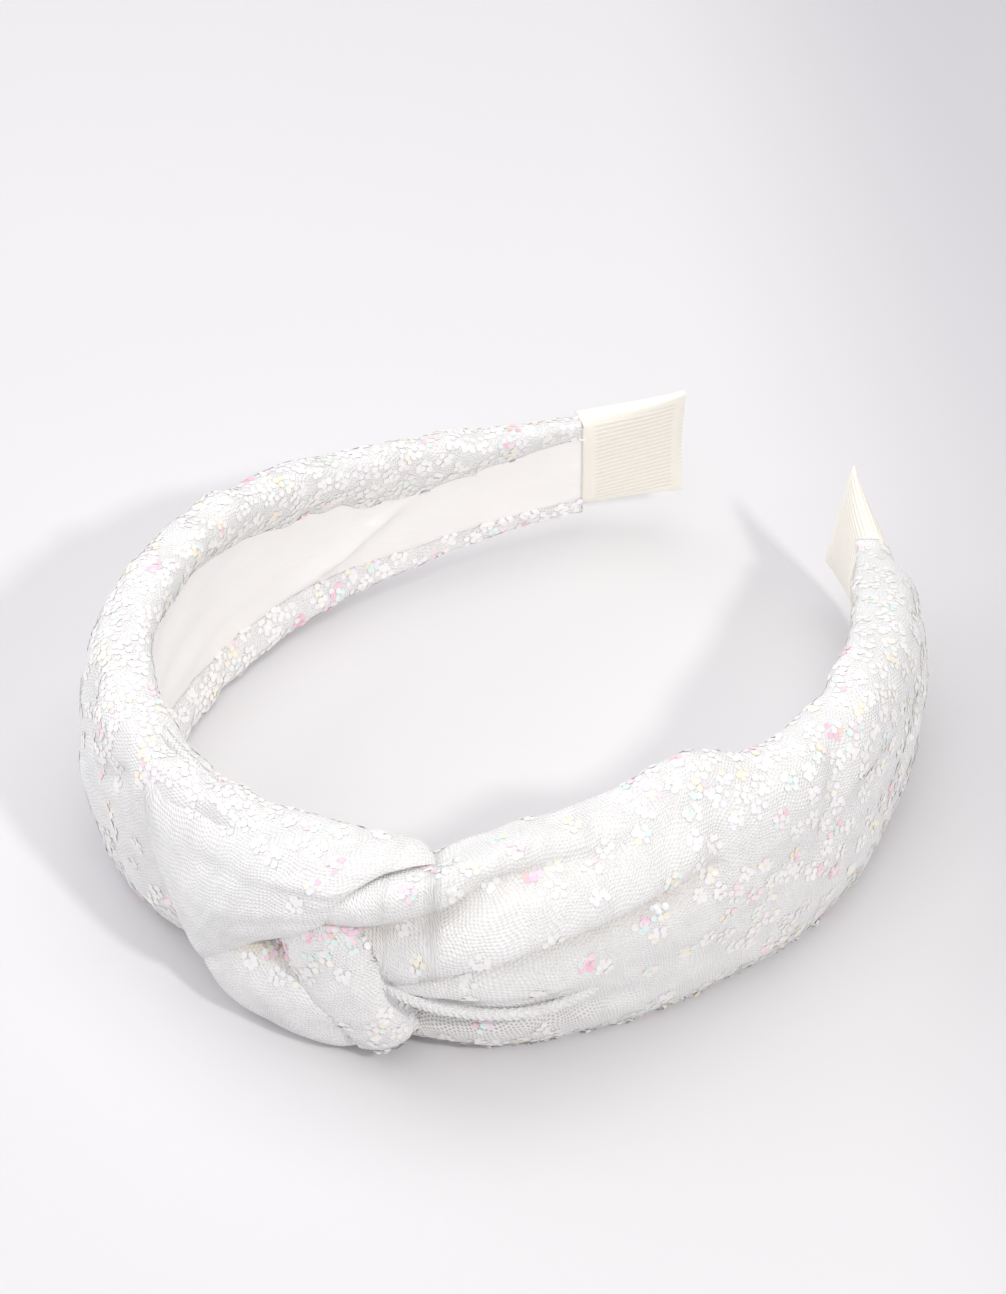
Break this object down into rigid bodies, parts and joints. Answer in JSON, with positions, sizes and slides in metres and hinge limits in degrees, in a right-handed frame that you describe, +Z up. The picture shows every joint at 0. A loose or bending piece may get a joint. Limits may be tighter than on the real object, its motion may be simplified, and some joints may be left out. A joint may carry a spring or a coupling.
{
  "type": "alice band",
  "caption": "Padded alice band lying on its side edge, with an off-centre turban knot of sequinned net over satin, a satin inner lining and ribbon-capped ends.",
  "frame": {"origin": "on the surface that the band lies on, under the middle of its outline seen from above", "axes": "+Z up, across the band's width; -Y towards the knot at the front of the ring; +Y towards the two open ends; +X towards the arm without the knot's lobe"},
  "size_m": [0.1374, 0.157, 0.0452],
  "materials": {
    "sequinned_net": "fine white net with small iridescent sequins over shiny white satin",
    "satin": "smooth white satin with a soft sheen",
    "grosgrain": "matt cream ribbed ribbon"
  },
  "bodies": {
    "root": {"left_cover": "sequinned_net", "right_cover": "sequinned_net", "left_lobe": "sequinned_net", "knot_strap": "sequinned_net", "under_loop": "sequinned_net", "upper_fold": "sequinned_net", "rolled_pleat": "sequinned_net", "middle_pleat": "sequinned_net", "thin_roll": "sequinned_net", "lining": "satin", "left_ribbon_end": "grosgrain", "right_ribbon_end": "grosgrain"}
  },
  "joints": []
}
